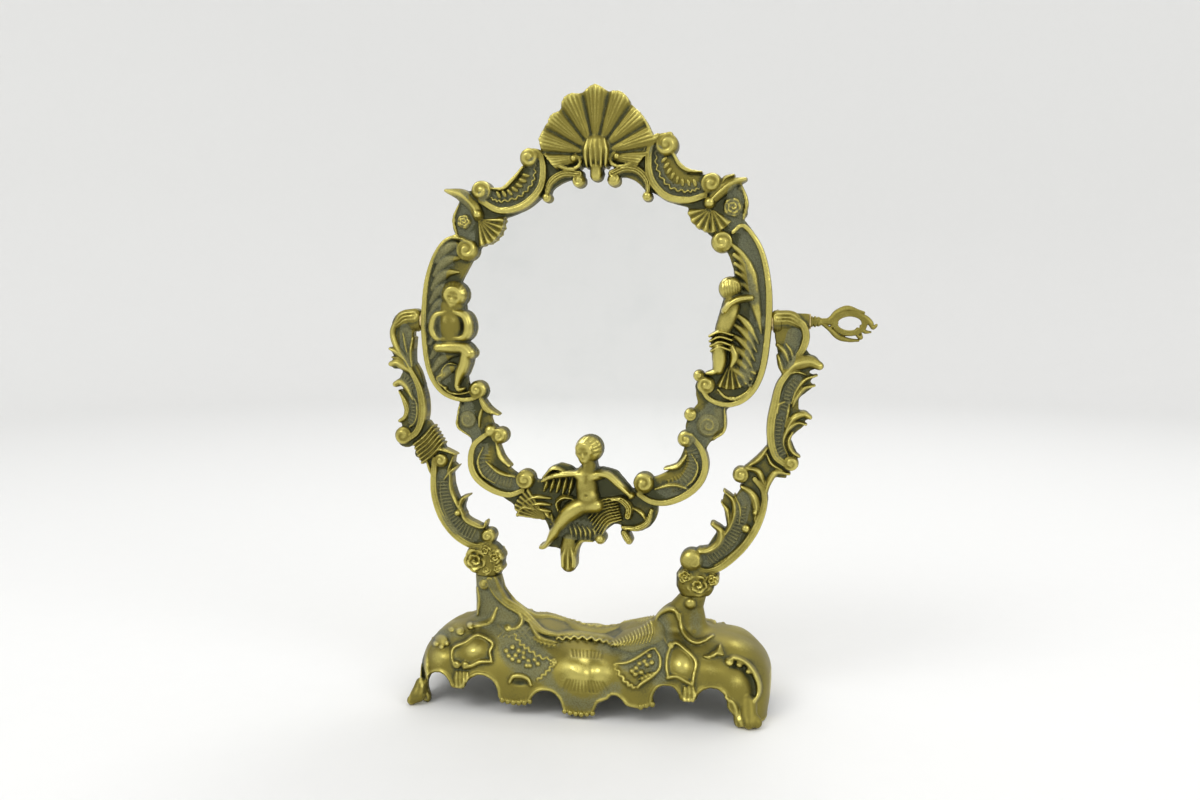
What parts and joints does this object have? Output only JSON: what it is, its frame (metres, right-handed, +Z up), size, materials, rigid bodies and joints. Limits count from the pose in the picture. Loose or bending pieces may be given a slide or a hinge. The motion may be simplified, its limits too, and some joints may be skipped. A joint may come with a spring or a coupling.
{
  "type": "tabletop vanity mirror",
  "caption": "Tabletop vanity mirror: a scrolled cast frame tilts between two ornate arms on a hollow footed base and is clamped by a side key.",
  "frame": {"origin": "on the table, below the middle of the whole mirror's width and depth", "axes": "+X to the right seen from the front, along the tilt axis; +Y to the back; +Z up"},
  "size_m": [0.3038, 0.098, 0.3799],
  "materials": {
    "cast_brass": "antiqued cast brass with dark recesses",
    "turned_brass": "rubbed brass",
    "sheet_brass": "dull rolled sheet",
    "silvered_glass": "polished",
    "grey_card": "plain pressed card",
    "plain_steel": "dull zinc"
  },
  "bodies": {
    "stand": {"base_casting": "cast_brass", "left_arm": "cast_brass", "right_arm": "cast_brass", "left_arm_bolt": "plain_steel", "right_arm_bolt": "plain_steel", "left_bolt_washer": "plain_steel", "right_bolt_washer": "plain_steel"},
    "mirror": {"mirror_frame": "cast_brass", "mirror_glass": "silvered_glass", "backing_card": "grey_card", "back_plate": "sheet_brass", "back_screws": "plain_steel", "pivot_pin": "plain_steel", "left_friction_washer": "turned_brass", "right_friction_washer": "turned_brass"},
    "key": {"key_screw": "turned_brass", "key_washer": "turned_brass"}
  },
  "joints": [
    {"name": "frame_tilt", "type": "hinge", "parent": "stand", "child": "mirror", "pos_m": [0, 0, 0.238], "axis": [1, 0, 0], "continuous": true},
    {"name": "key_turn", "type": "hinge", "parent": "mirror", "child": "key", "pos_m": [0.13, 0, 0.238], "axis": [1, 0, 0], "continuous": true}
  ]
}
